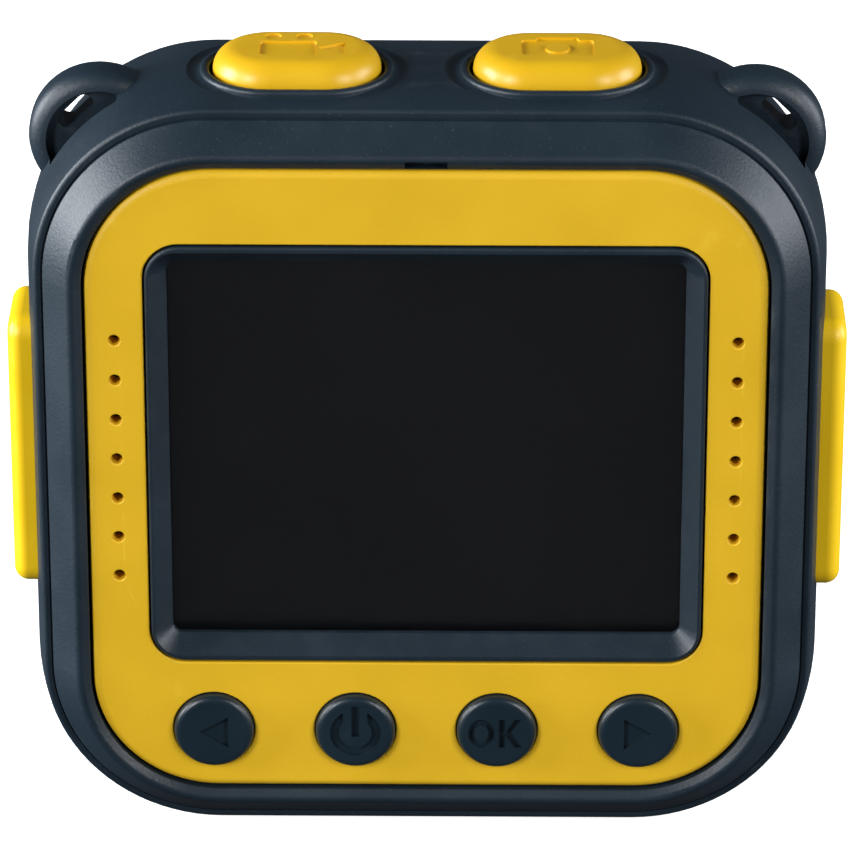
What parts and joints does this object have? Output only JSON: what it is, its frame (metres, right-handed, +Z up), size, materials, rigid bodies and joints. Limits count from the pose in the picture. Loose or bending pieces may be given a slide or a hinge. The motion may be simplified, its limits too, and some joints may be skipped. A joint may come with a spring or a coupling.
{
  "type": "kids digital camera",
  "caption": "Small square toy action camera with rear colour screen and keys, top shutter buttons, hinged side doors, front lens and lanyard lugs.",
  "frame": {"origin": "middle of the bounding box at the flat base the camera stands on", "axes": "+Z up, +X to the right seen from the screen side, screen faces -Y and lens faces +Y"},
  "size_m": [0.0584, 0.021, 0.0573],
  "materials": {
    "shell_navy": "fine spark-eroded grain",
    "key_navy": "fine satin grain",
    "bezel_yellow": "fine spark-eroded grain",
    "button_yellow": "soft satin",
    "door_yellow": "soft satin",
    "clear_window": "polished clear acrylic",
    "lcd_black": "polished, unlit screen",
    "white_plastic": "moulded",
    "black_plastic": "moulded",
    "switch_black": "moulded",
    "chip_black": "moulded package",
    "circuit_board": "green solder mask",
    "flex_film": "polyimide film",
    "sensor_glass": "silicon under glass",
    "filter_glass": "coated",
    "lens_glass": "coated, polished",
    "clear_plastic": "moulded light pipe",
    "metal_can": "plated sheet",
    "black_rubber": "soft moulded",
    "battery_foil": "pouch foil",
    "lead_red": "insulated wire",
    "insert_brass": "turned",
    "screw_steel": "zinc plated"
  },
  "bodies": {
    "camera_body": {"battery": "battery_foil", "battery_leads": "lead_red", "bezel": "bezel_yellow", "board_parts": "chip_black", "board_screws": "screw_steel", "card_socket": "metal_can", "front_glass": "lens_glass", "front_lens": "lens_glass", "front_shell": "shell_navy", "housing_screws": "screw_steel", "image_sensor": "sensor_glass", "indicator_lens": "clear_plastic", "infrared_filter": "filter_glass", "key_board": "circuit_board", "key_switches": "switch_black", "lcd_frame": "white_plastic", "lcd_panel": "lcd_black", "lcd_ribbon": "flex_film", "left_pin": "screw_steel", "lens_barrel": "black_plastic", "lens_cone": "black_plastic", "lens_holder": "black_plastic", "lens_ring": "button_yellow", "main_board": "circuit_board", "memory_chip": "chip_black", "microphone": "metal_can", "processor": "chip_black", "rear_housing": "shell_navy", "rear_lens": "lens_glass", "right_pin": "screw_steel", "screen_window": "clear_window", "speaker": "black_plastic", "speaker_gasket": "black_rubber", "status_led": "white_plastic", "top_board": "circuit_board", "top_board_screw": "screw_steel", "top_switches": "switch_black", "tripod_insert": "insert_brass", "usb_socket": "metal_can"},
    "left_key": {"left_key": "key_navy", "left_plunger": "white_plastic"},
    "power_key": {"power_key": "key_navy", "power_plunger": "white_plastic"},
    "ok_key": {"ok_key": "key_navy", "ok_plunger": "white_plastic"},
    "right_key": {"right_key": "key_navy", "right_plunger": "white_plastic"},
    "video_button": {"video_button": "button_yellow", "video_plunger": "white_plastic"},
    "photo_button": {"photo_button": "button_yellow", "photo_plunger": "white_plastic"},
    "left_door": {"left_door": "door_yellow", "left_seal": "black_rubber"},
    "right_door": {"right_door": "door_yellow", "right_seal": "black_rubber"}
  },
  "joints": [
    {"name": "left_key_press", "type": "slide", "parent": "camera_body", "child": "left_key", "axis": [0, 1, 0], "range_m": [0, 0.00045], "stiffness_N_per_m": 900, "springref_m": -0.0004},
    {"name": "power_key_press", "type": "slide", "parent": "camera_body", "child": "power_key", "axis": [0, 1, 0], "range_m": [0, 0.00045], "stiffness_N_per_m": 900, "springref_m": -0.0004},
    {"name": "ok_key_press", "type": "slide", "parent": "camera_body", "child": "ok_key", "axis": [0, 1, 0], "range_m": [0, 0.00045], "stiffness_N_per_m": 900, "springref_m": -0.0004},
    {"name": "right_key_press", "type": "slide", "parent": "camera_body", "child": "right_key", "axis": [0, 1, 0], "range_m": [0, 0.00045], "stiffness_N_per_m": 900, "springref_m": -0.0004},
    {"name": "video_button_press", "type": "slide", "parent": "camera_body", "child": "video_button", "axis": [0, 0, -1], "range_m": [0, 0.0006], "stiffness_N_per_m": 1000, "springref_m": -0.0004},
    {"name": "photo_button_press", "type": "slide", "parent": "camera_body", "child": "photo_button", "axis": [0, 0, -1], "range_m": [0, 0.0006], "stiffness_N_per_m": 1000, "springref_m": -0.0004},
    {"name": "left_door_hinge", "type": "hinge", "parent": "camera_body", "child": "left_door", "pos_m": [-0.027, 0.00285, 0.02775], "axis": [0, 0, -1], "range_deg": [0, 95]},
    {"name": "right_door_hinge", "type": "hinge", "parent": "camera_body", "child": "right_door", "pos_m": [0.027, 0.00285, 0.02775], "axis": [0, 0, 1], "range_deg": [0, 95]}
  ]
}
